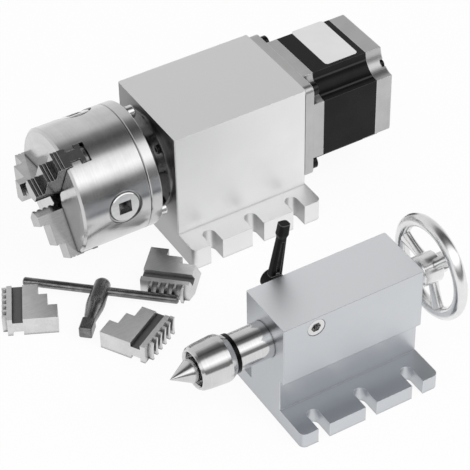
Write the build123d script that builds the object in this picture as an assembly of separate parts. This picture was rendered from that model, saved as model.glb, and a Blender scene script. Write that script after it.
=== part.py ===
from build123d import *
from math import cos, pi, radians, sin, sqrt, tan
import os

# Rotary axis for a small milling table: a driven headstock with a three-jaw chuck,
# a tailstock with a live centre, a chuck key and a spare set of jaws.
# X runs along the work axis, from the chuck towards the motor, and Z is up.
# The origin is the middle of the underside of the headstock base.

# Driving dimensions of the whole set
centre_height = 44.0
block_length = 76.0
running_gap = 0.05
base_corner = 3.0

# Headstock casting
head_block_width = 57.2
head_block_height = 72.5
head_base_width = 88.0
head_base_height = 12.2
head_slot_width = 7.0
head_slot_pitch = 24.5
head_slot_end = 33.2
head_front = -block_length / 2
bearing_outer = 21.0
bearing_inner = 10.0
bearing_width = 12.0
first_bearing = 4.0
bearing_spacing = 24.0
cap_screw_circle = 23.6
motor_pilot = 19.05

# Chuck, in distances ahead of the front face of the headstock block
chuck_radius = 33.0
chuck_face = head_front - 53.4
chuck_back = head_front - 16.2
flange_back = head_front - 9.9
chuck_bore = 8.0
first_jaw_angle = 115.0
jaw_angles = [first_jaw_angle + 120 * index for index in range(3)]
pinion_angles = [angle + 60 for angle in jaw_angles]
bolt_angles = [angle - 30 for angle in jaw_angles]
bolt_circle = 29.3
slot_depth = 13.4
slot_half_width = 5.4
ridge_start = 3.2
ridge_end = 8.0
ridge_half_gap = 3.05

# Scroll plate that drives the jaws
scroll_pitch = 4.0
scroll_outer = 25.8
scroll_inner = 11.7
scroll_ridge = 1.7
scroll_ridge_height = 2.3
scroll_front = chuck_face + slot_depth
scroll_cavity = 26.3
hub_radius = 11.5
pinion_station = head_front - 30.5
pinion_cone = 0.25
gear_teeth = 40
pinion_teeth = 10
gear_inner = 13.5
gear_outer = 24.1
tooth_top = 0.035
tooth_root = 0.045
tooth_half = 0.03
tooth_slope = 0.364
pinion_head = 8.0
pinion_neck = 7.0
pinion_socket = 6.8

# Jaws
jaw_half_width = 5.2
jaw_tip = 5.5
jaw_end = 33.2
jaw_steps = [(14.0, 13.3), (9.2, 24.9), (4.6, jaw_end)]
jaw_root = chuck_face + 10.8
tooth_thickness = 1.7
tooth_depth = 2.3

# Stepper motor
motor_half = 28.2
motor_panel = 17.25
motor_front = head_front + block_length
cap_length = 11.3
stator_length = 32.2
rear_cap_length = 9.9
shaft_radius = 4.0
flange_thickness = 5.0
motor_screw_offset = 23.57
case_screw_circle = 27.0

# Flexible coupling between the spindle and the motor shaft
coupling_start = head_front + 49.0
coupling_body = 9.0
claw_length = 6.0
claw_inner = 7.0
coupling_radius = 14.0
set_screw_radius = 1.9

# Tailstock, its front face and its axis placed beside the headstock
tail_front = -58.0
tail_side = -144.0
tail_block_width = 32.0
tail_neck_width = 25.2
tail_neck_top = 27.5
tail_block_height = 61.0
tail_base_width = 64.0
tail_base_height = 8.3
tail_slot_width = 6.2
tail_slot_pitch = 26.0
tail_slot_end = 19.6
quill_radius = 9.0
quill_reach = 17.7
quill_length = 62.0
shank_depth = 16.0
leadscrew_front = 13.0
key_station = 28.0
key_slot = 29.6
clamp_station = 17.4
clamp_rise = 11.0
clamp_radius = 4.6
stud_start = -10.0
stud_end = 22.5
screw_radius = 4.0
lever_plane = 20.5
lever_hub = 5.2
lever_length = 33.0
lever_lean = 10.0
wheel_station = 92.0
wheel_radius = 27.0
rim_radius = 3.3
spoke_angles = [10, 130, 250]
centre_cone = 5.66
centre_tip = 32.1

# Loose pieces lying in front of the chuck
key_body_radius = 4.7
key_bar_radius = 2.2
key_bar_length = 79.0
key_body_length = 38.0
key_hole = 6.5


def turned(*outline):
    # A solid of revolution about the X axis, from (x, radius) corners
    profile = make_face(Polyline(*outline, close=True))
    return revolve(Plane.XZ * profile, Axis.X)


def ring(start, end, outer, inner):
    return turned((start, inner), (end, inner), (end, outer), (start, outer))


def rod(start, end, radius, edge=0.0):
    # A plain bar along X, with a bevel at both ends
    if edge == 0.0:
        return turned((start, 0), (end, 0), (end, radius), (start, radius))
    return turned((start, 0), (end, 0), (end, radius - edge), (end - edge, radius),
                  (start + edge, radius), (start, radius - edge))


def radial_plane(angle, station):
    # Local z runs outwards from the axis at the angle, local x stays along the axis
    outwards = (0, cos(radians(angle)), sin(radians(angle)))
    return Plane(origin=(station, 0, 0), x_dir=(1, 0, 0), z_dir=outwards)


def radial_rod(angle, station, start, end, radius):
    bar = Cylinder(radius, end - start, align=(Align.CENTER, Align.CENTER, Align.MIN))
    return radial_plane(angle, station) * Pos(0, 0, start) * bar


def axial_rod(angle, circle, start, end, radius):
    place = Pos(0, circle * cos(radians(angle)), circle * sin(radians(angle)))
    return place * rod(start, end, radius)


def socket_screw(start, length, shank, head, head_length, direction=1):
    # A socket head cap screw along X, its head behind the start
    body = rod(0, length, shank) + rod(-head_length, 0, head, 0.4)
    hexagon = Plane.YZ * RegularPolygon(head * 0.55, 6)
    socket = Pos(-head_length, 0, 0) * extrude(hexagon, head_length * 0.6)
    screw = body - socket
    if direction < 0:
        screw = Rot(0, 0, 180) * screw
    return Pos(start, 0, 0) * screw


def lift(shape):
    # From the X axis up to the work axis
    return Pos(0, 0, centre_height) * shape


def t_block(base_width, base_height, neck_width, neck_top, block_width, block_height):
    # The T section of both castings, with a narrower neck where there is one
    base = base_width / 2
    neck = neck_width / 2
    block = block_width / 2
    right = [(base, 0), (base, base_height), (neck, base_height), (neck, neck_top)]
    right += [(block, neck_top), (block, block_height)]
    left = [(-side, height) for side, height in reversed(right)]
    corners = right + left
    outline = [corners[0]]
    for corner in corners[1:]:
        if corner != outline[-1]:
            outline.append(corner)
    section = make_face(Polyline(*outline, close=True))
    return extrude(Plane.YZ * section, block_length)


def base_slots(pitch, width, inner_end, half_base, height):
    # Open U slots on both sides of a base, three a side
    cutters = []
    for index in (-1, 0, 1):
        for side in (-1, 1):
            station = block_length / 2 + index * pitch
            reach = half_base + 2 - inner_end - width / 2
            slot = Cylinder(width / 2, height * 3)
            slot += Pos(0, side * reach / 2, 0) * Box(width, reach, height * 3)
            cutters.append(Pos(station, side * (inner_end + width / 2), 0) * slot)
    return cutters


def soften_corners(body, base_width, radius, bevel):
    # Rounded corners on the base, fine bevels up the block
    half = base_width / 2 - 0.1
    upright = body.edges().filter_by(Axis.Z)
    base_corners = upright.filter_by(lambda edge: abs(edge.center().Y) > half)
    body = fillet(base_corners, radius)
    half -= radius
    upright = body.edges().filter_by(Axis.Z)
    return chamfer(upright.filter_by(lambda edge: abs(edge.center().Y) < half), bevel)


def headstock_block():
    body = t_block(head_base_width, head_base_height, head_block_width,
                   head_base_height, head_block_width, head_block_height)
    body = soften_corners(body, head_base_width, base_corner, 0.5)
    for cutter in base_slots(head_slot_pitch, head_slot_width, head_slot_end,
                             head_base_width / 2, head_base_height):
        body -= cutter
    body = Pos(head_front, 0, 0) * body
    last_bearing = first_bearing + bearing_spacing + bearing_width
    body -= lift(rod(head_front - 1, head_front + last_bearing, bearing_outer))
    body -= lift(rod(head_front, head_front + 60, 17.0))
    body -= lift(rod(head_front + last_bearing + 6, motor_front + 1, motor_pilot + running_gap))
    for angle in (45, 135, 225, 315):
        hole = axial_rod(angle, motor_screw_offset * sqrt(2), motor_front - 11, motor_front + 1, 2.0)
        body -= lift(hole)
        body -= lift(axial_rod(angle, cap_screw_circle, head_front - 1, head_front + 9, 1.5))
    return body


def bearing_cap():
    cap = turned((head_front - 2.4, 15.4), (head_front + first_bearing, 15.4),
                 (head_front + first_bearing, 20.9), (head_front, 20.9),
                 (head_front, 26.4), (head_front - 1.8, 26.4), (head_front - 2.4, 25.8))
    for angle in (45, 135, 225, 315):
        cap -= axial_rod(angle, cap_screw_circle, head_front - 3, head_front + 1, 1.55)
    return lift(cap)


def cap_screws():
    screws = []
    for angle in (45, 135, 225, 315):
        place = Pos(0, cap_screw_circle * cos(radians(angle)), cap_screw_circle * sin(radians(angle)))
        screws.append(lift(place * socket_screw(head_front - 2.4, 9.6, 1.5, 2.4, 1.6)))
    return screws


def bearing_outer_ring(start, width, outer, inner):
    # The outer race with its shields, as deep as the wall between the races
    wall = (outer - inner) * 0.24
    return turned((start, outer - wall * 2), (start + 0.8, outer - wall * 2),
                  (start + 0.8, outer - wall), (start + width - 0.8, outer - wall),
                  (start + width - 0.8, outer - wall * 2), (start + width, outer - wall * 2),
                  (start + width, outer), (start, outer))


def bearing_inner_ring(start, width, outer, inner):
    wall = (outer - inner) * 0.24
    top = inner + wall
    return turned((start, inner), (start + width, inner), (start + width, top),
                  (start + width * 0.7, top), (start + width * 0.6, top - wall * 0.4),
                  (start + width * 0.4, top - wall * 0.4), (start + width * 0.3, top),
                  (start, top))


def spindle():
    neck = 15.0
    seat_end = head_front + first_bearing + bearing_spacing + bearing_width
    stub_end = coupling_start + coupling_body - 0.2
    body = turned((chuck_back - 2.3, chuck_bore), (seat_end - 8, chuck_bore), (seat_end - 4, 0),
                  (stub_end, 0), (stub_end, 6.5), (stub_end - 0.5, 7.0),
                  (seat_end + 6.2, 7.0), (seat_end + 6.2, 9.2), (seat_end, 9.2),
                  (seat_end, bearing_inner), (head_front + first_bearing, bearing_inner),
                  (head_front + first_bearing, neck), (flange_back, neck),
                  (flange_back, chuck_radius - 0.5), (flange_back - 0.5, chuck_radius),
                  (chuck_back + 0.6, chuck_radius), (chuck_back, chuck_radius - 0.6),
                  (chuck_back, scroll_cavity - 0.1), (chuck_back - 2.3, scroll_cavity - 0.1))
    for angle in bolt_angles:
        body -= axial_rod(angle, bolt_circle, chuck_back - 1, flange_back + 1, 2.2)
    return lift(body)


def chuck_bolts():
    bolts = []
    for angle in bolt_angles:
        place = Pos(0, bolt_circle * cos(radians(angle)), bolt_circle * sin(radians(angle)))
        bolts.append(lift(place * socket_screw(flange_back, 18, 2.0, 3.4, 4.0, -1)))
    return bolts


def lock_nut():
    seat_end = head_front + first_bearing + bearing_spacing + bearing_width
    nut = ring(seat_end + 0.1, seat_end + 5.6, 15.0, 9.2)
    for angle in range(0, 360, 90):
        notch = Box(8, 4, 3)
        nut -= Rot(angle, 0, 0) * Pos(seat_end + 3, 0, 15.0) * notch
    return lift(nut)


def chuck_body():
    body = turned((chuck_face, chuck_bore), (chuck_back - 5.8, chuck_bore),
                  (chuck_back - 5.8, hub_radius), (scroll_front - 2.6, hub_radius),
                  (scroll_front - 2.6, scroll_cavity), (chuck_back, scroll_cavity),
                  (chuck_back, chuck_radius - 0.6), (chuck_back - 0.6, chuck_radius),
                  (chuck_face + 1.2, chuck_radius), (chuck_face, chuck_radius - 1.2))
    slot_corners = [(chuck_face - 1, slot_half_width), (chuck_face + ridge_start, slot_half_width),
                    (chuck_face + ridge_start, ridge_half_gap), (chuck_face + ridge_end, ridge_half_gap),
                    (chuck_face + ridge_end, slot_half_width), (scroll_front, slot_half_width)]
    slot_corners += [(station, -width) for station, width in reversed(slot_corners)]
    slot = extrude(Plane.XZ * make_face(Polyline(*slot_corners, close=True)), -chuck_radius - 2)
    for angle in jaw_angles:
        body -= Rot(angle, 0, 0) * slot
    for angle in pinion_angles:
        body -= radial_rod(angle, pinion_station, scroll_cavity - 3, chuck_radius + 2,
                           pinion_head + running_gap)
        body -= radial_rod(angle, pinion_station, chuck_radius - 1.6, chuck_radius + 2, pinion_head + 1.2)
        body -= radial_rod(angle, pinion_station, chuck_bore - 1, hub_radius + 1, 2.6)
    for angle in bolt_angles:
        body -= axial_rod(angle, bolt_circle, chuck_back - 12.5, chuck_back + 1, 2.0)
    return lift(body)


def scroll_cover():
    return lift(ring(chuck_back - 5.7, chuck_back - 2.4, scroll_cavity - 0.1, chuck_bore + 0.1))


def spiral_edge(offset, turns, first_angle):
    # Archimedean curve in the (y, z) plane, one pitch outwards for each turn
    points = []
    for step in range(int(turns * 18) + 1):
        angle = step * 20
        radius = scroll_inner + 0.2 + offset + scroll_pitch * angle / 360
        points.append((0, radius * cos(radians(angle + first_angle)),
                       radius * sin(radians(angle + first_angle))))
    return Spline(*points)


def bevel_gap(teeth, level, rise, start, end):
    # The gap between two teeth of a bevel gear: a wedge whose sides all meet where the axes cross.
    # Levels are distances from the gear's own axis or face for each millimetre from that point.
    def width(height):
        tooth = tooth_half - (height - level) * rise * tooth_slope
        around = pi * (height if teeth == pinion_teeth else 1) / teeth
        return around - tooth

    root = level - rise * tooth_root
    top = level + rise * (tooth_top + 0.02)
    corners = [(root, -width(root)), (top, -width(top)), (top, width(top)), (root, width(root))]
    sections = []
    for reach in (start, end):
        outline = [(reach * across, reach * along) for across, along in corners]
        sections.append(Plane.XY.offset(reach) * make_face(Polyline(*outline, close=True)))
    return loft(sections, ruled=True)


def scroll_plate():
    # Spiral ridge on the front, bevel teeth on the back
    back = scroll_front + 2.2
    inner_back = pinion_station - 0.31 * gear_inner

    def gear_top(radius):
        return pinion_station - (pinion_cone - tooth_top) * radius

    plate = turned((scroll_front, scroll_inner), (inner_back, scroll_inner), (inner_back, gear_inner),
                   (gear_top(gear_inner), gear_inner), (gear_top(gear_outer), gear_outer),
                   (back, gear_outer), (back, scroll_outer), (scroll_front, scroll_outer))
    gap = bevel_gap(gear_teeth, -pinion_cone, 1, gear_inner - 1, gear_outer + 0.3)
    pitch_angle = 360 / gear_teeth
    plate -= [radial_plane(pinion_angles[0] + pitch_angle * index, pinion_station) * gap
              for index in range(gear_teeth)]
    turns = (scroll_outer - scroll_inner - scroll_ridge - 0.4) / scroll_pitch
    low = spiral_edge(0, turns, first_jaw_angle)
    high = spiral_edge(scroll_ridge, turns, first_jaw_angle)
    wire = Wire([low, Line(low @ 1, high @ 1), high, Line(high @ 0, low @ 0)])
    ridge = Solid.extrude(Face(wire), Vector(-scroll_ridge_height, 0, 0))
    plate += Pos(scroll_front, 0, 0) * ridge
    return lift(plate)


def tooth_profile(middle, inner_curve, outer_curve):
    # One jaw tooth in the (y, z) plane: a crescent that fits every turn of the scroll
    side = jaw_half_width
    shift = scroll_pitch / (2 * pi)

    def arc(radius, crown):
        def at(across):
            return crown - radius + sqrt(radius ** 2 - (across - shift) ** 2)
        return ThreePointArc((0, at(-side), -side), (0, at(0), 0), (0, at(side), side))

    low = arc(inner_curve, middle - tooth_thickness / 2)
    high = arc(outer_curve, middle + tooth_thickness / 2)
    wire = Wire([low, Line(low @ 1, high @ 1), high, Line(high @ 0, low @ 0)])
    return Face(wire)


def serrated(top, bottom, radius, count, depth):
    # Gripping grooves across an outer step face, as corners going from top to bottom
    points = []
    land = (bottom - top) / (count * 2 + 1)
    for index in range(count):
        start = top + land * (index * 2 + 1)
        points += [(start, radius), (start + land / 2, radius - depth), (start + land, radius)]
    return points


def jaw_blank(steps, tip, end, half_width, serrations=True):
    # Side outline of a stepped jaw, with the steps given as (height above the face, outer radius)
    outline = [(jaw_root, tip)]
    top = chuck_face - steps[0][0]
    if serrations:
        for index in range(4):
            station = chuck_face - 2 - index * 3
            outline += [(station, tip), (station - 1.0, tip + 0.7), (station - 2.0, tip)]
    outline.append((top, tip))
    for index, (height, radius) in enumerate(steps):
        step_top = chuck_face - height
        below = chuck_face - steps[index + 1][0] if index + 1 < len(steps) else chuck_face
        outline.append((step_top, radius))
        if serrations:
            outline += serrated(step_top, below, radius, 2, 0.5)
        outline.append((below, radius))
    outline.append((jaw_root, end))
    clean = [outline[0]]
    for corner in outline[1:]:
        if corner != clean[-1]:
            clean.append(corner)
    side_view = extrude(make_face(Polyline(*clean, close=True)), half_width, both=True)
    shoulder = tip + half_width / sqrt(3)
    plan = make_face(Polyline((tip, 0), (shoulder, half_width), (end + 1, half_width),
                              (end + 1, -half_width), (shoulder, -half_width), close=True))
    prism = Pos(chuck_face - 20, 0, 0) * extrude(Plane.YZ * plan, 40)
    blank = side_view & prism
    groove_start = chuck_face + ridge_start - 0.2
    groove_width = ridge_end - ridge_start + 0.4
    for side in (-1, 1):
        groove = Box(groove_width, 80, 5, align=(Align.MIN, Align.CENTER, Align.CENTER))
        blank -= Pos(groove_start, 0, side * (ridge_half_gap - 0.25 + 2.5)) * groove
    return blank


def jaw_teeth(tip, end, phase):
    # Teeth under a jaw that stand in the scroll, the first one placed by the jaw's number
    teeth = []
    middle = scroll_inner + 0.2 + scroll_ridge / 2 + scroll_pitch / 2 + phase - 2 * scroll_pitch
    while middle < end - 1.6:
        if middle > tip + 3.2:
            face = tooth_profile(middle, 26.0, 12.5)
            teeth.append(Pos(jaw_root, 0, 0) * Solid.extrude(face, Vector(tooth_depth, 0, 0)))
        middle += scroll_pitch
    return teeth


def jaw(number):
    angle = jaw_angles[number]
    phase = scroll_pitch * number / 3
    shape = jaw_blank(jaw_steps, jaw_tip, jaw_end, jaw_half_width)
    for tooth in jaw_teeth(jaw_tip, jaw_end, phase):
        shape += tooth
    return lift(Rot(angle, 0, 0) * shape)


def pinion(angle):
    inner = 15.5
    outer = 24.4
    cone = pinion_cone + tooth_top
    head = scroll_outer + 0.4
    local = [(0, 9.2), (2.5, 9.2), (2.5, inner), (inner * cone, inner), (outer * cone, outer),
             (pinion_neck, head), (pinion_head, head + 0.3), (pinion_head, 27.6), (6.6, 28.0), (6.6, 29.6),
             (pinion_head, 30.0), (pinion_head, 32.0), (pinion_head - 0.5, 32.5), (0, 32.5)]
    shape = revolve(Plane.XZ * make_face(Polyline(*local, close=True)), Axis.Z)
    socket = Box(pinion_socket, pinion_socket, 9, align=(Align.CENTER, Align.CENTER, Align.MAX))
    shape -= Pos(0, 0, 33) * socket
    gap = bevel_gap(pinion_teeth, pinion_cone, 1, inner - 1, outer)
    lag = (angle - pinion_angles[0]) % (360 / gear_teeth) * gear_teeth / pinion_teeth
    shape -= [Rot(0, 0, 360 * (index + 0.5) / pinion_teeth - lag) * gap for index in range(pinion_teeth)]
    return lift(radial_plane(angle, pinion_station) * shape)


def coupling_hub(start, direction, bore):
    # Hub of the flexible coupling, with three claws on its inner end
    hub = rod(0, coupling_body, coupling_radius, 0.5)
    hub -= radial_rod(90, coupling_body / 2, 0, coupling_radius + 1, set_screw_radius + 0.05)
    claw = ring(coupling_body, coupling_body + claw_length, coupling_radius, claw_inner)
    third = make_face(Polyline((0, 0), (20, -7), (20, 7), close=True))
    wedge = extrude(Plane.YZ * third, coupling_body + claw_length)
    for angle in (0, 120, 240):
        hub += claw & Rot(angle, 0, 0) * wedge
    hub -= rod(-1, coupling_body + claw_length + 1, bore)
    if direction < 0:
        hub = Rot(0, 0, 180) * hub
    return lift(Pos(start, 0, 0) * hub)


def coupling_spider():
    # Six rubber lobes between the claws of the two hubs
    start = coupling_start + coupling_body + 0.1
    ring_part = ring(start, start + claw_length - 0.2, claw_inner - 0.2, claw_inner - 2.4)
    reach = coupling_radius - claw_inner + 0.6
    lobe = Box(claw_length - 0.2, reach, 2.4, align=(Align.MIN, Align.MIN, Align.CENTER))
    for angle in range(30, 390, 60):
        ring_part += Rot(angle, 0, 0) * Pos(start, claw_inner - 1, 0) * lobe
    return lift(ring_part)


def coupling_screws():
    front = coupling_start + coupling_body / 2
    rear = front + coupling_body + claw_length
    return [lift(radial_rod(90, front, 7.1, 13.2, set_screw_radius)),
            lift(radial_rod(90, rear, shaft_radius + 0.1, 13.2, set_screw_radius))]


def motor_section(start, end, half, panel):
    # A length of motor casing with a concave notch along each corner
    face = Rectangle(2 * half, 2 * half)
    notch = half - panel
    for turn in range(4):
        face -= Rot(0, 0, 90 * turn) * Pos(half, half, 0) * Circle(notch)
    return Pos(start, 0, 0) * extrude(Plane.YZ * face, end - start)


def motor_front_cap():
    square = RectangleRounded(57, 57, 4)
    cap = Pos(motor_front, 0, 0) * extrude(Plane.YZ * square, flange_thickness)
    cap += motor_section(motor_front + flange_thickness, motor_front + cap_length, motor_half, motor_panel)
    cap += ring(motor_front - 1.6, motor_front, motor_pilot, 12.0)
    cap -= rod(motor_front - 2, motor_front + cap_length + 1, 11.0)
    cap -= rod(motor_front + 4.2, motor_front + cap_length + 1, 16.5)
    cap += ring(motor_front, motor_front + cap_length - 0.5, 13.5, 11.0)
    for angle in (45, 135, 225, 315):
        cap -= axial_rod(angle, motor_screw_offset * sqrt(2), motor_front - 1,
                         motor_front + flange_thickness + 1, 2.6)
    return lift(cap)


def motor_stator():
    start = motor_front + cap_length
    body = motor_section(start, start + stator_length, motor_half, motor_panel)
    body -= rod(start - 1, start + stator_length + 1, 16.5)
    return lift(body)


def motor_rear_cap():
    start = motor_front + cap_length + stator_length
    body = motor_section(start, start + rear_cap_length, motor_half, motor_panel)
    body = chamfer(body.faces().sort_by(Axis.X)[-1].edges(), 0.8)
    body -= rod(start - 1, start + 7.5, 11.0)
    back = start + rear_cap_length
    for angle in (45, 135, 225, 315):
        body -= axial_rod(angle, case_screw_circle, back - 2.4, back + 1, 2.7)
    return lift(body)


def motor_shaft():
    end = motor_front + cap_length + stator_length + 7.0
    return lift(rod(motor_front - 12, end, shaft_radius, 0.4))


def motor_rotor():
    start = motor_front + cap_length + 0.6
    return lift(ring(start, start + stator_length - 1.2, 16.1, shaft_radius))


def motor_mount_screws():
    screws = []
    circle = motor_screw_offset * sqrt(2)
    for angle in (45, 135, 225, 315):
        place = Pos(0, circle * cos(radians(angle)), circle * sin(radians(angle)))
        start = motor_front + flange_thickness
        screws.append(lift(place * socket_screw(start, 14, 2.0, 3.6, 4.2, -1)))
    return screws


def motor_case_screws():
    start = motor_front + cap_length + stator_length + rear_cap_length - 2.4
    screws = []
    for angle in (45, 135, 225, 315):
        place = Pos(0, case_screw_circle * cos(radians(angle)), case_screw_circle * sin(radians(angle)))
        screws.append(lift(place * rod(start, start + 1.8, 2.5, 0.3)))
    return screws


def tail_place(shape):
    # From the tailstock's own frame, its front face at x = 0 on the X axis
    return Pos(tail_front, tail_side, centre_height) * shape


def tailstock_block():
    body = t_block(tail_base_width, tail_base_height, tail_neck_width, tail_neck_top,
                   tail_block_width, tail_block_height)
    body = soften_corners(body, tail_base_width, base_corner, 0.4)
    for cutter in base_slots(tail_slot_pitch, tail_slot_width, tail_slot_end,
                             tail_base_width / 2, tail_base_height):
        body -= cutter
    body = Pos(tail_front, tail_side, 0) * body
    body -= tail_place(rod(-1, 66, quill_radius + running_gap))
    body -= tail_place(rod(60, block_length + 1, 7.0))
    body -= tail_place(Pos(clamp_station, 0, clamp_rise) * Rot(90, 0, 0) * Cylinder(clamp_radius + 0.1, 60))
    body -= tail_place(Pos(key_station, 10, 0) * Rot(90, 0, 0) * Cylinder(2.5, 14.5))
    return body


def quill():
    front = -quill_reach
    back = front + quill_length
    body = turned((front, 6.1), (front + 30, 5.3), (front + 30, 5.0), (back - 14, 5.0), (back - 14, 7.0),
                  (back, 7.0), (back, quill_radius - 0.4), (back - 0.4, quill_radius),
                  (front + 0.4, quill_radius), (front, quill_radius - 0.4))
    body -= Pos(key_station - 1, quill_radius, 0) * Box(key_slot, 4, 3.4)
    return tail_place(body)


def quill_nut():
    back = quill_length - quill_reach
    return tail_place(ring(back - 13.8, back + 1.5, 7.0, screw_radius + 0.35))


def quill_key():
    # Dog-point screw that keeps the quill from turning
    body = Pos(0, 12.5, 0) * Rot(90, 0, 0) * Cylinder(2.5, 6.2)
    body += Pos(0, 8.4, 0) * Rot(90, 0, 0) * Cylinder(1.4, 2.2)
    body -= Pos(0, 15.6, 0) * Rot(90, 0, 0) * extrude(RegularPolygon(1.4, 6), 2.5, both=True)
    return tail_place(Pos(key_station, 0, 0) * body)


def clamp_plug(side):
    # Half of the split cotter that grips the quill from above
    length = 14.6
    inner = 1.2
    plug = Pos(clamp_station, side * (inner + length / 2), clamp_rise) * Rot(90, 0, 0)
    shape = plug * Cylinder(clamp_radius, length)
    shape -= rod(clamp_station - 10, clamp_station + 10, quill_radius + 0.12)
    shape -= Pos(clamp_station, 0, clamp_rise) * Rot(90, 0, 0) * Cylinder(1.8, 60)
    return shape


def clamp_plug_near():
    shape = clamp_plug(-1)
    hexagon = extrude(RegularPolygon(2.6, 6), 3.4, both=True)
    shape -= Pos(clamp_station, -15.8, clamp_rise) * Rot(90, 0, 0) * hexagon
    return tail_place(shape)


def clamp_plug_far():
    return tail_place(clamp_plug(1))


def clamp_stud():
    middle = (stud_start + stud_end) / 2
    shape = Pos(clamp_station, middle, clamp_rise) * Rot(90, 0, 0) * Cylinder(1.7, stud_end - stud_start)
    return tail_place(shape)


def clamp_lever():
    # Moulded arm that narrows upwards to a neck under a wider head, fluted on both broad faces
    def section(height, width, depth):
        return Plane.XY.offset(height) * RectangleRounded(width, depth, depth / 3)

    hub = Pos(0, lever_plane, 0) * Rot(90, 0, 0) * Cylinder(lever_hub, 8.2)
    hub = chamfer(hub.edges(), 0.8)
    neck = lever_length - 7.5
    arm = loft([section(0, 6.8, 4.8), section(neck, 4.4, 4.0)])
    head = loft([section(neck, 4.4, 4.0), section(neck + 1.8, 5.8, 4.7), section(lever_length, 5.3, 4.5)],
                ruled=True)
    handle = Pos(0, lever_plane, 0) * (arm + head)
    span = Pos(0, lever_plane, neck / 2 + 2) * Box(20, 20, neck - 8)
    for side in (-1, 1):
        flute = Pos(0, lever_plane + side * 2.9, neck / 2) * Cylinder(1.2, neck)
        handle -= flute & span
    lever = Rot(0, lever_lean, 0) * (hub + handle)
    lever -= Pos(0, stud_end / 2, 0) * Rot(90, 0, 0) * Cylinder(1.75, stud_end + 0.6)
    return tail_place(Pos(clamp_station, 0, clamp_rise) * lever)


def leadscrew():
    front = leadscrew_front
    body = turned((front, 0), (block_length + 19, 0), (block_length + 19, 3.0), (block_length + 4, 3.0),
                  (block_length + 4, 4.4), (63.2, 4.4), (63.2, 7.6), (60.2, 7.6), (60.2, screw_radius),
                  (front + 0.5, screw_radius), (front, screw_radius - 0.5))
    return tail_place(body)


def screw_bush():
    body = turned((64, 4.45), (block_length + 2.4, 4.45), (block_length + 2.4, 9.6),
                  (block_length + 1.9, 10.2), (block_length, 10.2), (block_length, 6.95), (64, 6.95))
    return tail_place(body)


def handwheel():
    hub = turned((block_length + 4.2, 3.05), (wheel_station + 3, 3.05), (wheel_station + 3, 6.6),
                 (wheel_station + 2, 7.6), (block_length + 8, 7.6), (block_length + 6.5, 6.4),
                 (block_length + 4.2, 6.4))
    centre = Pos(wheel_station, 0, 0)
    rim_circle = wheel_radius - rim_radius
    rim = centre * Rot(0, 90, 0) * Torus(rim_circle, rim_radius)
    wheel = hub + rim
    for angle in spoke_angles:
        sections = [Plane.XY.offset(5.5) * Ellipse(2.6, 2.6), Plane.XY.offset(13) * Ellipse(2.2, 3.0),
                    Plane.XY.offset(rim_circle - 0.5) * Ellipse(2.6, 5.2)]
        spoke = loft(sections)
        wheel += radial_plane(angle, wheel_station) * spoke
    return tail_place(wheel)


def wheel_nut():
    start = wheel_station + 3.1
    body = Pos(start, 0, 0) * extrude(Plane.YZ * RegularPolygon(5.2, 6), 4.0)
    body += turned((start + 4, 0), (start + 6.4, 0), (start + 5.8, 2.6), (start + 4, 4.0))
    body -= rod(start - 1, start + 3.2, 3.0)
    return tail_place(body)


def centre_housing():
    front = -quill_reach - 20.1
    back = -quill_reach - 2.0
    body = turned((front + 4.5, 5.9), (back, 5.9), (back, 9.6), (back - 3.2, 11.4), (back - 5, 11.6),
                  (front + 4.0, 11.0), (front + 1.2, 10.5), (front, 9.6), (front, 8.8), (front + 1, 8.2),
                  (front + 4.5, 8.2))
    return tail_place(body)


def centre_shank():
    # Fixed taper that seats in the quill, with the socket for the rear of the rotating point
    front = -quill_reach - 2.0
    back = -quill_reach + shank_depth
    body = turned((front - 8, 0), (back, 0), (back, 5.4),
                  (-quill_reach, 6.0), (-quill_reach, 6.2), (front, 6.2), (front, 5.85), (front - 8, 5.85))
    return tail_place(body)


def centre_ring():
    return tail_place(ring(-quill_reach - 1.95, -quill_reach - 0.05, 9.7, 6.25))


def centre_point():
    tip = -quill_reach - centre_tip
    base = tip + centre_cone / tan(radians(30))
    back = -quill_reach - 10.3
    body = turned((tip, 0), (back, 0), (back, 3.0), (back - 6.8, 3.0), (back - 6.8, 5.6), (base, 5.6))
    return tail_place(body)


def centre_bearing():
    front = -quill_reach - 17.0
    return tail_place(ring(front, front + 6.6, 5.85, 3.1))


def chuck_key_body():
    # Square driving end under a tapered neck, body drilled across for the bar
    swell = key_body_length * 0.42
    neck = key_body_length - 8
    body = turned((0, 0), (neck, 0), (neck, 2.9), (neck - 2, 3.1), (swell + 3, key_body_radius - 0.2),
                  (swell, key_body_radius), (2, key_body_radius - 0.6), (0.6, key_body_radius - 1.4),
                  (0, key_body_radius - 2.8))
    square = pinion_socket - 0.3
    end = Box(8.2, square, square, align=(Align.MIN, Align.CENTER, Align.CENTER))
    end = fillet(end.edges().filter_by(Axis.X), 0.9)
    end = chamfer(end.faces().sort_by(Axis.X)[-1].edges(), 0.6)
    body += Pos(neck - 0.2, 0, 0) * end
    body -= Pos(key_hole, 0, 0) * Rot(90, 0, 0) * Cylinder(key_bar_radius, 20)
    return body


def chuck_key_bar():
    bar = Rot(0, 0, 90) * rod(-key_bar_length / 2, key_bar_length / 2, key_bar_radius, 0.6)
    return Pos(key_hole, 0, 0) * bar


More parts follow.
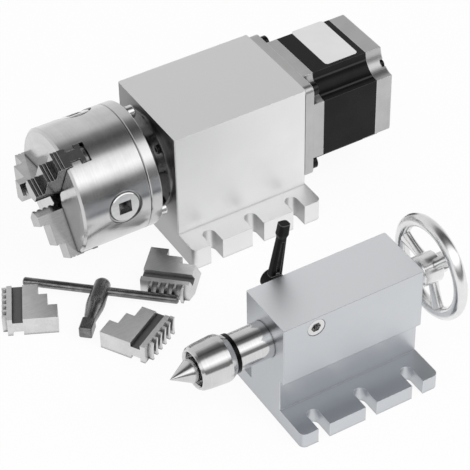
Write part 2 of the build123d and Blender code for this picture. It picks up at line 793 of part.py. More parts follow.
def spare_jaw(number):
    # Reversed steps: the highest one is at the outer end
    outline = [(jaw_root, jaw_tip), (chuck_face - 4.6, jaw_tip), (chuck_face - 4.6, 16.0),
               (chuck_face - 9.2, 16.0), (chuck_face - 9.2, 24.0), (chuck_face - 14.0, 24.0),
               (chuck_face - 14.0, jaw_end), (jaw_root, jaw_end)]
    side_view = extrude(make_face(Polyline(*outline, close=True)), jaw_half_width, both=True)
    shoulder = jaw_tip + jaw_half_width / sqrt(3)
    plan = make_face(Polyline((jaw_tip, 0), (shoulder, jaw_half_width), (jaw_end + 1, jaw_half_width),
                              (jaw_end + 1, -jaw_half_width), (shoulder, -jaw_half_width), close=True))
    shape = side_view & Pos(chuck_face - 20, 0, 0) * extrude(Plane.YZ * plan, 40)
    groove_start = chuck_face + ridge_start - 0.2
    for side in (-1, 1):
        groove = Box(ridge_end - ridge_start + 0.4, 80, 5, align=(Align.MIN, Align.CENTER, Align.CENTER))
        shape -= Pos(groove_start, 0, side * (ridge_half_gap - 0.25 + 2.5)) * groove
    for tooth in jaw_teeth(jaw_tip, jaw_end, scroll_pitch * number / 3):
        shape += tooth
    return Pos(-chuck_face, -(jaw_tip + jaw_end) / 2, 0) * shape


def lay(shape, x, y, z, turn):
    # On the surface that the set stands on
    return Pos(x, y, z) * Rot(0, 0, turn) * shape


def bearing(start, width, outer, inner):
    outer_ring = lift(bearing_outer_ring(start, width, outer, inner))
    inner_ring = lift(bearing_inner_ring(start, width, outer, inner))
    return outer_ring, inner_ring


def headstock_nodes():
    front = head_front + first_bearing
    rear = front + bearing_spacing
    front_outer, front_inner = bearing(front, bearing_width, bearing_outer, bearing_inner)
    rear_outer, rear_inner = bearing(rear, bearing_width, bearing_outer, bearing_inner)
    gap = (front + bearing_width, rear)
    rear_hub = coupling_start + 2 * coupling_body + claw_length
    return {
        "headstock_block": headstock_block(),
        "front_bearing_cap": bearing_cap(),
        "bearing_cap_screws": cap_screws(),
        "front_bearing_outer": front_outer,
        "front_bearing_inner": front_inner,
        "rear_bearing_outer": rear_outer,
        "rear_bearing_inner": rear_inner,
        "outer_spacer": lift(ring(*gap, bearing_outer, bearing_outer - 2.5)),
        "inner_spacer": lift(ring(*gap, bearing_inner + 2.4, bearing_inner)),
        "spindle": spindle(),
        "spindle_lock_nut": lock_nut(),
        "coupling_front_hub": coupling_hub(coupling_start, 1, 7.0),
        "coupling_rear_hub": coupling_hub(rear_hub, -1, shaft_radius),
        "coupling_spider": coupling_spider(),
        "coupling_screws": coupling_screws(),
    }


def chuck_nodes():
    nodes = {
        "chuck_body": chuck_body(),
        "chuck_mounting_bolts": chuck_bolts(),
        "scroll_plate": scroll_plate(),
        "scroll_cover": scroll_cover(),
    }
    for number in range(3):
        nodes["jaw_%d" % (number + 1)] = jaw(number)
        nodes["pinion_%d" % (number + 1)] = pinion(pinion_angles[number])
    return nodes


def motor_nodes():
    stator = motor_front + cap_length
    front = motor_front + 4.6
    rear = stator + stator_length + 0.4
    front_outer, front_inner = bearing(front, 6.0, 10.9, shaft_radius)
    rear_outer, rear_inner = bearing(rear, 6.0, 10.9, shaft_radius)
    return {
        "motor_front_cap": motor_front_cap(),
        "motor_stator": motor_stator(),
        "motor_rear_cap": motor_rear_cap(),
        "motor_shaft": motor_shaft(),
        "motor_rotor": motor_rotor(),
        "motor_front_bearing_outer": front_outer,
        "motor_front_bearing_inner": front_inner,
        "motor_rear_bearing_outer": rear_outer,
        "motor_rear_bearing_inner": rear_inner,
        "motor_mount_screws": motor_mount_screws(),
        "motor_case_screws": motor_case_screws(),
    }


def tailstock_nodes():
    return {
        "tailstock_block": tailstock_block(),
        "quill": quill(),
        "quill_nut": quill_nut(),
        "quill_key": quill_key(),
        "quill_clamp_near": clamp_plug_near(),
        "quill_clamp_far": clamp_plug_far(),
        "clamp_stud": clamp_stud(),
        "clamp_lever": clamp_lever(),
        "leadscrew": leadscrew(),
        "leadscrew_bush": screw_bush(),
        "handwheel": handwheel(),
        "handwheel_nut": wheel_nut(),
        "centre_housing": centre_housing(),
        "centre_shank": centre_shank(),
        "centre_ring": centre_ring(),
        "centre_bearing": centre_bearing(),
        "centre_point": centre_point(),
    }


def loose_nodes():
    flip = Rot(0, 180, 0)
    return {
        "chuck_key_body": lay(chuck_key_body(), -83.2, -32.0, key_body_radius, -132),
        "chuck_key_bar": lay(chuck_key_bar(), -83.2, -32.0, key_body_radius, -132),
        "spare_jaw_1": lay(spare_jaw(0), -123.3, -29.5, jaw_half_width, 154),
        "spare_jaw_2": lay(flip * spare_jaw(1), -52.4, -47.1, jaw_half_width, 47.7),
        "spare_jaw_3": lay(flip * spare_jaw(2), -85.4, -73, jaw_half_width, 120.8),
    }


os.makedirs("parts", exist_ok=True)
sets = (headstock_nodes(), chuck_nodes(), motor_nodes(), tailstock_nodes(), loose_nodes())
for nodes in sets:
    for name, shape in nodes.items():
        if isinstance(shape, list):
            shape = Compound(children=shape)
        export_step(shape, "parts/%s.step" % name)
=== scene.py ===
import math

import bmesh
import bpy
from mathutils import Matrix, Vector

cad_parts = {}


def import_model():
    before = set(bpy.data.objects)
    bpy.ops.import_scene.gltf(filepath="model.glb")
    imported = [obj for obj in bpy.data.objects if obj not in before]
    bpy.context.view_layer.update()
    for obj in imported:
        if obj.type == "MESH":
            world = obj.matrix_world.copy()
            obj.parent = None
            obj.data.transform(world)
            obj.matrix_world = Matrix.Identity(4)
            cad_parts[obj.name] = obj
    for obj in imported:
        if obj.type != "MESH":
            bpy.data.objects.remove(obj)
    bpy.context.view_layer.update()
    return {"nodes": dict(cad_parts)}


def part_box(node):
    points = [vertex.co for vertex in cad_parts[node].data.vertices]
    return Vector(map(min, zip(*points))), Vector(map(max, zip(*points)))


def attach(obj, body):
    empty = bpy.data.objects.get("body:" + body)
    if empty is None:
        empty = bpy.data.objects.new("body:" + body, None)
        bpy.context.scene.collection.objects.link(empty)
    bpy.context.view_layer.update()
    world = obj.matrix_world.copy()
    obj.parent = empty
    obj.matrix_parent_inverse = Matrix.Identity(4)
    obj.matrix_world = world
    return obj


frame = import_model()
print("frame:", len(frame["nodes"]), "pieces")

mm = 0.001
workAxis = 44 * mm          # height of both work axes
tailSide = -144 * mm        # the tailstock's axis lies beside the headstock's
headAxis = (0, 0, workAxis)
tailAxis = (0, tailSide, workAxis)


class Sock:
    # one output of a node, so that sums on values read as plain expressions
    def __init__(self, recipe, socket):
        self.recipe = recipe
        self.socket = socket

    def math(self, operation, *terms):
        return self.recipe.node("ShaderNodeMath", {"operation": operation}, dict(enumerate(terms)))

    def __add__(self, other):
        return self.math("ADD", self, other)

    def __radd__(self, other):
        return self.math("ADD", other, self)

    def __sub__(self, other):
        return self.math("SUBTRACT", self, other)

    def __rsub__(self, other):
        return self.math("SUBTRACT", other, self)

    def __mul__(self, other):
        return self.math("MULTIPLY", self, other)

    def __rmul__(self, other):
        return self.math("MULTIPLY", other, self)

    def __truediv__(self, other):
        return self.math("DIVIDE", self, other)

    def __pow__(self, other):
        return self.math("POWER", self, other)

    def between(self, low, high):
        # 0 below low, 1 above high, smooth in between
        sockets = {0: self, 1: low, 2: high}
        return self.recipe.node("ShaderNodeMapRange", {"interpolation_type": "SMOOTHSTEP"}, sockets)


class Recipe:
    # the node tree of one finish
    def __init__(self, owner):
        owner.use_nodes = True
        self.tree = owner.node_tree

    def node(self, kind, settings=None, sockets=None, output=0):
        made = self.tree.nodes.new(kind)
        for name, value in (settings or {}).items():
            if name == "stops":
                self.fillRamp(made.color_ramp, value)
            else:
                setattr(made, name, value)
        for name, value in (sockets or {}).items():
            self.feed(made.inputs[name], value)
        return Sock(self, made.outputs[output])

    def fillRamp(self, ramp, stops):
        while len(ramp.elements) < len(stops):
            ramp.elements.new(1.0)
        for element, (place, level) in zip(ramp.elements, stops):
            element.position = place
            element.color = grey(level)

    def feed(self, target, value):
        if isinstance(value, Sock):
            self.tree.links.new(value.socket, target)
        else:
            target.default_value = value

    def place(self):
        return self.node("ShaderNodeTexCoord", output="Object")

    def axes(self, vector):
        parts = self.node("ShaderNodeSeparateXYZ", sockets={0: vector}).socket.node
        return [Sock(self, output) for output in parts.outputs]

    def stretched(self, vector, scale, centre=(0, 0, 0)):
        # coordinates about a centre, squeezed by a factor along each axis
        moved = self.node("ShaderNodeVectorMath", {"operation": "SUBTRACT"}, {0: vector, 1: centre})
        return self.node("ShaderNodeVectorMath", {"operation": "MULTIPLY"}, {0: moved, 1: scale})

    def noise(self, vector, scale, detail=3.0, roughness=0.55):
        sockets = {"Vector": vector, "Scale": scale, "Detail": detail, "Roughness": roughness}
        return self.node("ShaderNodeTexNoise", sockets=sockets)

    def blend(self, factor, low, high):
        # a colour between two colours
        return self.node("ShaderNodeMix", {"data_type": "RGBA"}, {0: factor, 6: low, 7: high}, output=2)

    def bump(self, height, strength, distance, normal=None):
        sockets = {"Height": height, "Strength": strength, "Distance": distance}
        if normal is not None:
            sockets["Normal"] = normal
        return self.node("ShaderNodeBump", sockets=sockets)

    def softEdge(self, radius, samples=6):
        # rounds sharp edges and facets in the shading, as a deburring wheel does
        return self.node("ShaderNodeBevel", {"samples": samples}, {"Radius": radius})

    def edgeMask(self, rounded):
        # near 1 where the rounded normal leaves the flat one
        flat = self.node("ShaderNodeNewGeometry", output="Normal")
        same = self.node("ShaderNodeVectorMath", {"operation": "DOT_PRODUCT"},
                         {0: rounded, 1: flat}, "Value")
        return (1 - same).between(0.004, 0.12)

    def paintedCreviceShade(self, reach, depth):
        # painted shade: 1 in the open, falling towards 1 - depth down in gaps, slots and sockets
        clear = self.node("ShaderNodeAmbientOcclusion", {"samples": 6}, {"Distance": reach}, "AO")
        return 1 - (1 - clear.between(0.25, 0.85)) * depth

    def darken(self, colour, factor):
        # a colour brought down towards black as the factor falls from 1 to 0
        return self.blend(factor, (0.008, 0.008, 0.008, 1), colour)


def grey(level, blue=0.0):
    return (level, level + blue * 0.4, level + blue, 1)


def finish(name, build, metallic=1.0, **constants):
    # a new material whose changing sockets come from its build function
    material = bpy.data.materials.new(name)
    recipe = Recipe(material)
    surface = recipe.tree.nodes["Principled BSDF"]
    surface.inputs["Metallic"].default_value = metallic
    for socket, value in constants.items():
        surface.inputs[socket.replace("_", " ")].default_value = value
    for socket, value in build(recipe).items():
        recipe.feed(surface.inputs[socket], value)
    return material


# Milled and sandblasted aluminium of the two castings, with painted highlights along the edges, partly
# wear, and painted shade in gaps
casting = {"grain": 900.0, "edge": 0.4 * mm, "wear": 0.8, "baseEdge": 0.95, "topRough": 0.05,
           "brightest": 0.95, "gap": 2 * mm, "gapDepth": 0.35}
# In each look, top and base scale the colour of the top face and of the base's upper face as painted light
# and shade, the front values give the front face painted shade that lightens lower down, and the edge tone
# is a faint painted highlight on the headstock and a painted dark line on the tailstock
castingLooks = {
    "headAluminium": {"colour": 0.9, "blue": 0.0, "roughness": 0.46, "edgeTone": 0.92,
                      "top": 1.0, "base": 1.05, "front": 0.26, "frontLow": 0.45,
                      "baseHeight": 12.2 * mm, "topHeight": 70 * mm},
    "tailAluminium": {"colour": 0.645, "blue": 0.045, "roughness": 0.38, "edgeTone": 0.4,
                      "top": 1.47, "base": 0.68, "front": 0.5, "frontLow": 0.5,
                      "baseHeight": 8.3 * mm, "topHeight": 59 * mm},
}


def castingFinish(name, look):
    colour, blue = look["colour"], look["blue"]

    def build(r):
        place = r.place()
        x, y, z = r.axes(place)
        nx, ny, nz = r.axes(r.node("ShaderNodeNewGeometry", output="Normal"))
        brushed = r.noise(r.stretched(place, (60, 1400, 1400)), 1.0, 2.0)
        grain = r.noise(place, casting["grain"], 2.0)
        cloud = r.noise(place, 22.0, 3.0)
        rounded = r.softEdge(casting["edge"])
        edge = r.edgeMask(rounded)
        body = r.blend(cloud.between(0.3, 0.75), grey(colour * 0.97, blue), grey(colour * 1.03, blue))
        upward = nz.between(0.8, 0.95)
        topFace = upward * z.between(look["topHeight"] - 1 * mm, look["topHeight"])
        baseFace = upward * (1 - z.between(look["baseHeight"] + 1 * mm, look["baseHeight"] + 2 * mm))
        # painted light: the top face is drawn lighter by the look's top factor, no brighter than brightest
        paintedTopLight = min(colour * look["top"], casting["brightest"])
        body = r.blend(topFace, body, grey(paintedTopLight, blue))
        # painted light and shade on the base's upper face: lighter on the headstock, darker on the
        # tailstock next to the block
        body = r.blend(baseFace, body, grey(colour * look["base"], blue))
        # painted shade on the front face, lighter lower down, its border mottled by the cloud noise
        front = (nx * -1).between(0.6, 0.9)
        lower = z + (cloud - 0.5) * (20 * mm)
        shade = r.blend(lower.between(6 * mm, 30 * mm), grey(look["frontLow"], blue),
                        grey(look["front"], blue))
        body = r.blend(front, body, shade)
        # painted highlight along the edges, partly wear: bright along the base, and above it a faint
        # highlight on the headstock and a dark line on the tailstock
        aboveBase = z.between(look["baseHeight"] + 2 * mm, look["baseHeight"] + 8 * mm)
        edgeTone = r.blend(aboveBase, grey(casting["baseEdge"], blue), grey(look["edgeTone"], blue))
        body = r.blend(edge * casting["wear"], body, edgeTone)
        # painted shade in gaps and corners
        body = r.darken(body, r.paintedCreviceShade(casting["gap"], casting["gapDepth"]))
        rough = look["roughness"] + (grain - 0.5) * 0.06 + (cloud - 0.5) * 0.03
        rough = rough - front * 0.08 + topFace * casting["topRough"]
        height = grain * 0.4 + brushed * 0.6
        return {"Base Color": body, "Roughness": rough, "Normal": r.bump(height, 0.08, 0.02 * mm, rounded)}
    return finish(name, build)


# Turned and polished steel and bronze, each round its own axis
turning = {"rings": 2600.0, "edge": 0.3 * mm, "wear": 0.6, "streak": 0.1, "gap": 1.6 * mm, "gapDepth": 0.9}
turnedLooks = {
    "chuckSteel": {"colour": 0.63, "roughness": 0.19, "centre": headAxis, "edgeLight": 0.12},
    "quillSteel": {"colour": 0.66, "roughness": 0.11, "centre": tailAxis},
    "centreSteel": {"colour": 0.64, "roughness": 0.13, "centre": tailAxis, "rings": 0.8},
    "spindleSteel": {"colour": 0.6, "roughness": 0.18, "centre": headAxis},
    "scrollSteel": {"colour": 0.4, "roughness": 0.3, "centre": headAxis},
    "bearingSteel": {"colour": 0.66, "roughness": 0.14, "centre": headAxis},
    "bronze": {"colour": 0.5, "roughness": 0.3, "centre": tailAxis},
}


def turnedFinish(name, colour, roughness, centre, edgeLight=0.85, rings=1.0):
    def build(r):
        place = r.place()
        local = r.stretched(place, (1, 1, 1), centre)
        x, y, z = r.axes(local)
        radius = (y * y + z * z) ** 0.5
        fine = turning["rings"] * rings
        wound = r.node("ShaderNodeCombineXYZ", sockets={0: x * fine, 1: radius * fine, 2: 0.0})
        along = r.noise(wound, 1.0, 2.0)
        smear = r.noise(place, 60.0, 4.0, 0.6)
        rounded = r.softEdge(turning["edge"])
        edge = r.edgeMask(rounded)
        tone = r.blend((smear * 0.6 + along * 0.4).between(0.3, 0.7),
                       grey(colour * (1 - turning["streak"])), grey(colour * (1 + turning["streak"])))
        # painted highlight along the edges, partly wear; the chuck's low edge tone makes a painted dark
        # line there
        body = r.blend(edge * turning["wear"], tone, grey(edgeLight))
        # painted shade in grooves, slots and sockets
        body = r.darken(body, r.paintedCreviceShade(turning["gap"], turning["gapDepth"]))
        rough = roughness + (along - 0.5) * 0.10 + (smear - 0.45) * 0.12
        return {"Base Color": body, "Roughness": rough, "Normal": r.bump(along, 0.12, 0.01 * mm, rounded)}
    return finish(name, build)


# Surface-ground steel of the jaws, with straight grinding marks and grooves darkened by painted shade
grinding = {"marks": 2600.0, "edge": 0.15 * mm, "wear": 0.55, "streak": 0.1, "oil": 0.8, "oilTone": 0.03,
            "gapDepth": 0.92}
groundLooks = {
    "jawSteel": {"colour": 0.47, "roughness": 0.16, "edgeLight": 0.95, "gap": 2.6 * mm},
    "spareJawSteel": {"colour": 0.72, "roughness": 0.4, "edgeLight": 0.8, "gap": 2.5 * mm,
                      "grooveTop": 9.5 * mm},
    "pinionSteel": {"colour": 0.72, "roughness": 0.2, "edgeLight": 0.8, "gap": 4 * mm},
}


def groundFinish(name, colour, roughness, edgeLight, gap, grooveTop=None):
    def build(r):
        place = r.place()
        fine = grinding["marks"]
        marks = r.noise(r.stretched(place, (fine * 0.05, fine, fine)), 1.0, 3.0)
        stain = r.noise(place, 130.0, 4.0, 0.65)
        rounded = r.softEdge(grinding["edge"])
        edge = r.edgeMask(rounded)
        tone = r.blend((marks * 0.5 + stain * 0.5).between(0.32, 0.68),
                       grey(colour * (1 - grinding["streak"])), grey(colour * (1 + grinding["streak"])))
        # painted highlight along the edges, partly wear
        body = r.blend(edge * grinding["wear"], tone, grey(edgeLight))
        if grooveTop:
            # painted shade in the guide grooves of a jaw that lies flat
            z = r.axes(place)[2]
            upward = r.axes(r.node("ShaderNodeNewGeometry", output="Normal"))[2].between(0.8, 0.95)
            groove = upward * (1 - z.between(grooveTop - 0.3 * mm, grooveTop))
            body = r.blend(groove * grinding["oil"], body, grey(grinding["oilTone"]))
        # painted shade in grooves, slots and sockets
        body = r.darken(body, r.paintedCreviceShade(gap, grinding["gapDepth"]))
        rough = roughness + (marks - 0.5) * 0.14 + (stain - 0.5) * 0.12
        return {"Base Color": body, "Roughness": rough, "Normal": r.bump(marks, 0.2, 0.012 * mm, rounded)}
    return finish(name, build)


# Black painted laminations of the motor
paint = {"colour": 0.006, "roughness": 0.22, "shine": 0.15, "sheet": 0.5 * mm, "ridge": 2.6 * mm,
         "ridgeTone": 0.05, "ridgeHeight": 6, "edge": 0.5 * mm, "edgeTone": 0.10}


def laminationFinish():
    def build(r):
        place = r.place()
        x, y, z = r.axes(place)
        sheets = x * (1 / paint["sheet"])
        offset = sheets.math("FRACT", sheets) - 0.5
        joint = offset.math("ABSOLUTE", offset).between(0.40, 0.5)
        speck = r.noise(place, 700.0, 2.0)
        cloud = r.noise(place, 45.0, 3.0)
        rounded = r.softEdge(paint["edge"])
        body = r.blend(cloud.between(0.3, 0.8), grey(paint["colour"] * 0.7), grey(paint["colour"] * 1.8))
        # painted highlight along the edges
        body = r.blend(r.edgeMask(rounded) * 0.6, body, grey(paint["edgeTone"]))
        rough = paint["roughness"] + (cloud - 0.5) * 0.12 + joint * 0.1
        # ridges along the hollow corners, with painted highlights on their crests
        nx, ny, nz = r.axes(r.node("ShaderNodeNewGeometry", output="Normal"))
        slanted = ny * nz
        corner = slanted.math("ABSOLUTE", slanted).between(0.10, 0.25)
        across = (z - workAxis - y) * (2 * math.pi / paint["ridge"])
        wave = across.math("SINE", across)
        body = r.blend(corner * wave.between(0.55, 1.0), body, grey(paint["ridgeTone"]))
        height = joint * -0.7 + speck * 0.3 + corner * wave * paint["ridgeHeight"]
        return {"Base Color": body, "Roughness": rough, "Normal": r.bump(height, 0.16, 0.02 * mm, rounded)}
    return finish("blackLaminations", build, metallic=0.0, Specular_IOR_Level=paint["shine"])


# Die-cast motor caps
dieCast = {"colour": 0.52, "roughness": 0.33, "edge": 0.8 * mm, "edgeTone": 0.88, "gap": 2 * mm,
           "gapDepth": 0.6}


def dieCastFinish():
    def build(r):
        place = r.place()
        pits = r.noise(place, 1500.0, 3.0, 0.7)
        cloud = r.noise(place, 60.0, 4.0)
        rounded = r.softEdge(dieCast["edge"])
        edge = r.edgeMask(rounded)
        colour = dieCast["colour"]
        tone = r.blend(cloud.between(0.25, 0.75), grey(colour * 0.9), grey(colour * 1.06))
        # painted highlight along the rounded edges
        body = r.blend(edge * 0.5, tone, grey(dieCast["edgeTone"]))
        # painted shade in gaps and recesses
        body = r.darken(body, r.paintedCreviceShade(dieCast["gap"], dieCast["gapDepth"]))
        rough = dieCast["roughness"] + (pits - 0.5) * 0.25 + (cloud - 0.5) * 0.1
        return {"Base Color": body, "Roughness": rough, "Normal": r.bump(pits, 0.3, 0.02 * mm, rounded)}
    return finish("dieCastCaps", build)


# Chrome of the handwheel and the small bright fittings
plating = {"edge": 0.6 * mm, "gap": 1.5 * mm, "gapDepth": 0.9}
chromeLooks = {
    "wheelChrome": {"colour": 0.84, "roughness": 0.2},
    "boltChrome": {"colour": 0.75, "roughness": 0.14},
}


def chromeFinish(name, colour, roughness):
    def build(r):
        place = r.place()
        haze = r.noise(place, 90.0, 4.0, 0.6)
        ripple = r.noise(place, 35.0, 2.0)
        rounded = r.softEdge(plating["edge"], 8)
        body = r.blend(haze.between(0.3, 0.75), grey(colour * 0.93), grey(colour * 1.05))
        # painted shade in gaps and recesses
        body = r.darken(body, r.paintedCreviceShade(plating["gap"], plating["gapDepth"]))
        rough = roughness + (haze - 0.4) * 0.10
        return {"Base Color": body, "Roughness": rough, "Normal": r.bump(ripple, 0.05, 0.1 * mm, rounded)}
    return finish(name, build)


# Moulded plastic of the clamp lever and the coupling's spider
moulding = {"shine": 0.12, "edge": 0.7 * mm, "edgeLight": 0.22}
plasticLooks = {
    "leverBlack": {"colour": 0.003, "roughness": 0.2},
    "spiderRubber": {"colour": 0.05, "roughness": 0.6},
}


def plasticFinish(name, colour, roughness):
    def build(r):
        place = r.place()
        skin = r.noise(place, 1800.0, 2.0)
        cloud = r.noise(place, 80.0, 3.0)
        rounded = r.softEdge(moulding["edge"])
        edge = r.edgeMask(rounded)
        body = r.blend(cloud.between(0.3, 0.8), grey(colour * 0.8), grey(colour * 1.6))
        # painted highlight along the edges
        body = r.blend(edge * 0.7, body, grey(moulding["edgeLight"]))
        rough = roughness + (skin - 0.5) * 0.12 + (cloud - 0.5) * 0.1
        return {"Base Color": body, "Roughness": rough, "Normal": r.bump(skin, 0.1, 0.02 * mm, rounded)}
    return finish(name, build, metallic=0.0, Specular_IOR_Level=moulding["shine"])


# Black oxide steel of the chuck key, the screws and the dark rings
oxide = {"edge": 0.2 * mm, "wear": 0.6}
oxideLooks = {
    "keyBlack": {"colour": 0.23, "roughness": 0.25, "edgeLight": 0.34},
    "screwBlack": {"colour": 0.03, "roughness": 0.28, "edgeLight": 0.12},
    "capBlack": {"colour": 0.14, "roughness": 0.2, "edgeLight": 0.5},
    "ringBlack": {"colour": 0.015, "roughness": 0.3, "edgeLight": 0.05},
}


def oxideFinish(name, colour, roughness, edgeLight):
    def build(r):
        place = r.place()
        grain = r.noise(place, 1100.0, 3.0)
        rub = r.noise(place, 75.0, 5.0, 0.7)
        rounded = r.softEdge(oxide["edge"])
        edge = r.edgeMask(rounded)
        tone = r.blend(rub.between(0.4, 0.75), grey(colour * 0.7), grey(colour * 1.7))
        # painted highlight along the edges, partly wear
        body = r.blend(edge * oxide["wear"], tone, grey(edgeLight))
        rough = roughness + (grain - 0.5) * 0.16 + (rub - 0.5) * 0.2
        return {"Base Color": body, "Roughness": rough, "Normal": r.bump(grain, 0.2, 0.015 * mm, rounded)}
    return finish(name, build)


materials = {"blackLaminations": laminationFinish(), "dieCastCaps": dieCastFinish()}
materials.update({name: castingFinish(name, look) for name, look in castingLooks.items()})
for make, looks in ((turnedFinish, turnedLooks), (groundFinish, groundLooks), (chromeFinish, chromeLooks),
                    (plasticFinish, plasticLooks), (oxideFinish, oxideLooks)):
    materials.update({name: make(name, **look) for name, look in looks.items()})
print("materials:", len(materials))

# Which pieces have which finish
dressed = {
    "headAluminium": ["headstock_block"],
    "tailAluminium": ["tailstock_block"],
    "chuckSteel": ["chuck_body"],
    "spindleSteel": ["spindle", "spindle_lock_nut", "inner_spacer", "outer_spacer", "scroll_cover",
                     "motor_shaft", "motor_rotor", "coupling_front_hub", "coupling_rear_hub"],
    "jawSteel": ["jaw_1", "jaw_2", "jaw_3"],
    "spareJawSteel": ["spare_jaw_1", "spare_jaw_2", "spare_jaw_3"],
    "pinionSteel": ["pinion_1", "pinion_2", "pinion_3"],
    "scrollSteel": ["scroll_plate"],
    "blackLaminations": ["motor_stator"],
    "dieCastCaps": ["motor_front_cap", "motor_rear_cap"],
    "wheelChrome": ["handwheel", "handwheel_nut", "leadscrew_bush", "leadscrew"],
    "boltChrome": ["chuck_mounting_bolts", "quill_clamp_near", "quill_clamp_far", "clamp_stud"],
    "quillSteel": ["quill"],
    "centreSteel": ["centre_housing", "centre_point", "centre_shank"],
    "leverBlack": ["clamp_lever"],
    "spiderRubber": ["coupling_spider"],
    "keyBlack": ["chuck_key_body", "chuck_key_bar"],
    "screwBlack": ["motor_mount_screws", "motor_case_screws", "bearing_cap_screws", "coupling_screws",
                   "quill_key"],
    "capBlack": ["front_bearing_cap"],
    "ringBlack": ["centre_ring"],
    "bearingSteel": ["front_bearing_outer", "front_bearing_inner", "rear_bearing_outer",
                     "rear_bearing_inner", "motor_front_bearing_outer", "motor_front_bearing_inner",
                     "motor_rear_bearing_outer", "motor_rear_bearing_inner", "centre_bearing"],
    "bronze": ["quill_nut"],
}


def dress():
    for finishName, names in dressed.items():
        for name in names:
            for slot in frame["nodes"][name].material_slots:
                slot.material = materials[finishName]
    missing = set(frame["nodes"]) - {name for names in dressed.values() for name in names}
    print("without a finish:", sorted(missing))


dress()

# Blank plate on top of the motor
plate = {"start": 9.4 * mm, "end": 28.8 * mm, "low": -15.2 * mm, "high": 18.5 * mm, "corner": 1.8 * mm,
         "cornerSteps": 5, "thickness": 0.15 * mm, "colour": 0.8, "roughness": 0.35}


def plateFinish():
    def build(r):
        place = r.place()
        fibre = r.noise(place, 2500.0, 3.0)
        haze = r.noise(place, 70.0, 3.0)
        body = r.blend(haze.between(0.3, 0.8), grey(plate["colour"] * 0.96), grey(plate["colour"]))
        rough = plate["roughness"] + (fibre - 0.5) * 0.15
        return {"Base Color": body, "Roughness": rough, "Normal": r.bump(fibre, 0.08, 0.01 * mm)}
    return finish("blankPlate", build, metallic=0.0)


def motorPlate():
    low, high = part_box("motor_stator")
    startX = low.x + plate["start"]
    endX = low.x + plate["end"]
    radius, steps = plate["corner"], plate["cornerSteps"]
    centres = ((endX - radius, plate["high"] - radius), (startX + radius, plate["high"] - radius),
               (startX + radius, plate["low"] + radius), (endX - radius, plate["low"] + radius))
    outline = []
    for quarter, (centreX, centreY) in enumerate(centres):
        for step in range(steps + 1):
            angle = math.radians(90 * (quarter + step / steps))
            outline.append((centreX + radius * math.cos(angle), centreY + radius * math.sin(angle)))
    mesh = bmesh.new()
    base = [mesh.verts.new((x, y, high.z)) for x, y in outline]
    top = [mesh.verts.new((x, y, high.z + plate["thickness"])) for x, y in outline]
    mesh.faces.new(top)
    mesh.faces.new(list(reversed(base)))
    for index in range(len(outline)):
        after = (index + 1) % len(outline)
        mesh.faces.new((base[index], base[after], top[after], top[index]))
    data = bpy.data.meshes.new("motor_plate")
    mesh.to_mesh(data)
    mesh.free()
    piece = bpy.data.objects.new("motor_plate", data)
    bpy.context.scene.collection.objects.link(piece)
    data.materials.append(plateFinish())
    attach(piece, "headstock")


motorPlate()
print("plate")

# Floor, studio and camera
studio = {"floorSize": 4.0, "floorColour": 0.93, "floorWhite": 0.93, "floorShine": 0.8, "floorRough": 0.9,
          "ambient": 0.62, "endWall": 0.85, "aim": (-0.02, -0.07, 0.03)}
lamps = {
    "keyLight": {"power": 9.0, "size": 0.9, "place": (0.45, -1.1, 1.25)},
    "fillLight": {"power": 3.0, "size": 1.2, "place": (-0.9, -0.7, 1.1)},
}


def floorFinish():
    material = bpy.data.materials.new("paleFloor")
    r = Recipe(material)
    surface = r.tree.nodes["Principled BSDF"]
    surface.inputs["Roughness"].default_value = studio["floorRough"]
    grain = r.noise(r.place(), 3.0)
    level = studio["floorColour"]
    r.feed(surface.inputs["Base Color"], r.blend(grain, grey(level * 0.99), grey(level)))
    glow = r.node("ShaderNodeEmission", sockets={0: (1, 1, 1, 1), 1: 1.0})
    camera = r.node("ShaderNodeLightPath", output="Is Camera Ray")
    glossy = r.node("ShaderNodeLightPath", output="Is Glossy Ray")
    share = camera * studio["floorWhite"] + glossy * studio["floorShine"]
    mixed = r.node("ShaderNodeMixShader", sockets={0: share, 1: Sock(r, surface.outputs[0]), 2: glow})
    r.feed(r.tree.nodes["Material Output"].inputs["Surface"], mixed)
    return material


def floor():
    half = studio["floorSize"] / 2
    corners = [(-half, -half, 0), (half, -half, 0), (half, half, 0), (-half, half, 0)]
    mesh = bpy.data.meshes.new("floor")
    mesh.from_pydata(corners, [], [(0, 1, 2, 3)])
    piece = bpy.data.objects.new("floor", mesh)
    bpy.context.scene.collection.objects.link(piece)
    mesh.materials.append(floorFinish())


# What polished metal sees, as levels round the X axis: 0 is straight down, 0.25 the front
# horizon, 0.5 overhead and 0.75 the back horizon
surroundings = [(0.0, 0.95), (0.240, 0.85), (0.258, 0.22), (0.300, 0.24), (0.330, 1.0), (0.360, 1.6),
                (0.430, 1.2), (0.462, 0.22), (0.515, 0.07), (0.565, 0.24), (0.605, 0.73), (0.75, 0.86),
                (1.0, 0.95)]


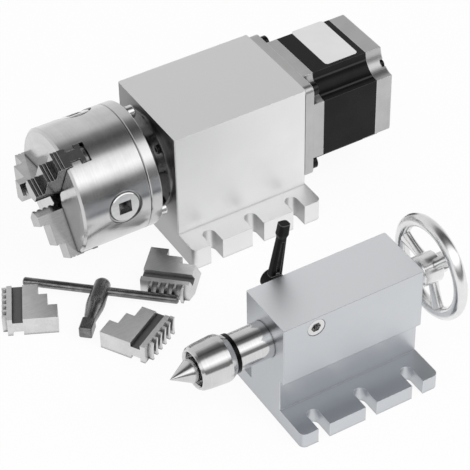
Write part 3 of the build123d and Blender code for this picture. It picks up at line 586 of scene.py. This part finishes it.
def world():
    scene = bpy.context.scene
    scene.world = bpy.data.worlds.new("studio")
    r = Recipe(scene.world)
    direction = r.node("ShaderNodeTexCoord", output="Generated")
    x, y, z = r.axes(direction)
    turn = z.math("ARCTAN2", z, y * -1) / (2 * math.pi) + 0.25
    turn = turn.math("FRACT", turn)
    seen = r.node("ShaderNodeValToRGB", {"stops": surroundings}, {0: turn})
    seen = r.blend((x * -1).between(0.72, 0.92), seen, grey(studio["endWall"]))
    path = r.node("ShaderNodeLightPath").socket.node
    camera = Sock(r, path.outputs["Is Camera Ray"])
    glossy = Sock(r, path.outputs["Is Glossy Ray"])
    level = r.blend(glossy, grey(studio["ambient"]), seen)
    level = r.blend(camera, level, grey(1.0))
    background = r.tree.nodes["Background"]
    r.feed(background.inputs["Color"], level)
    background.inputs["Strength"].default_value = 1.0


def lamp(name, power, size, place):
    data = bpy.data.lights.new(name, "AREA")
    data.energy = power
    data.size = size
    piece = bpy.data.objects.new(name, data)
    bpy.context.scene.collection.objects.link(piece)
    piece.location = place
    aim = Vector(studio["aim"]) - Vector(place)
    piece.rotation_euler = aim.to_track_quat("-Z", "Y").to_euler()
    piece.visible_glossy = False


# The viewing angle of the photograph
view = {"place": (-399.9 * mm, -701.06 * mm, 674.59 * mm), "azimuth": -30.434, "elevation": 40.994,
        "roll": -1.111, "lens": 153.19}


def camera():
    azimuth, elevation, roll = (math.radians(view[name]) for name in ("azimuth", "elevation", "roll"))
    back = Vector((math.sin(azimuth) * math.cos(elevation), -math.cos(azimuth) * math.cos(elevation),
                   math.sin(elevation)))
    right = Vector((math.cos(azimuth), math.sin(azimuth), 0))
    up = back.cross(right)
    rolledRight = math.cos(roll) * right + math.sin(roll) * up
    rolledUp = math.cos(roll) * up - math.sin(roll) * right
    data = bpy.data.cameras.new("photoView")
    data.lens = view["lens"]
    data.sensor_width = 36.0
    data.clip_start = 0.01
    piece = bpy.data.objects.new("photoView", data)
    bpy.context.scene.collection.objects.link(piece)
    turn = Matrix((rolledRight, rolledUp, back)).transposed().to_4x4()
    piece.matrix_world = Matrix.Translation(Vector(view["place"])) @ turn
    bpy.context.scene.camera = piece


floor()
world()
for lampName, values in lamps.items():
    lamp(lampName, **values)
camera()
bpy.context.scene.view_settings.view_transform = "Standard"
print("studio")
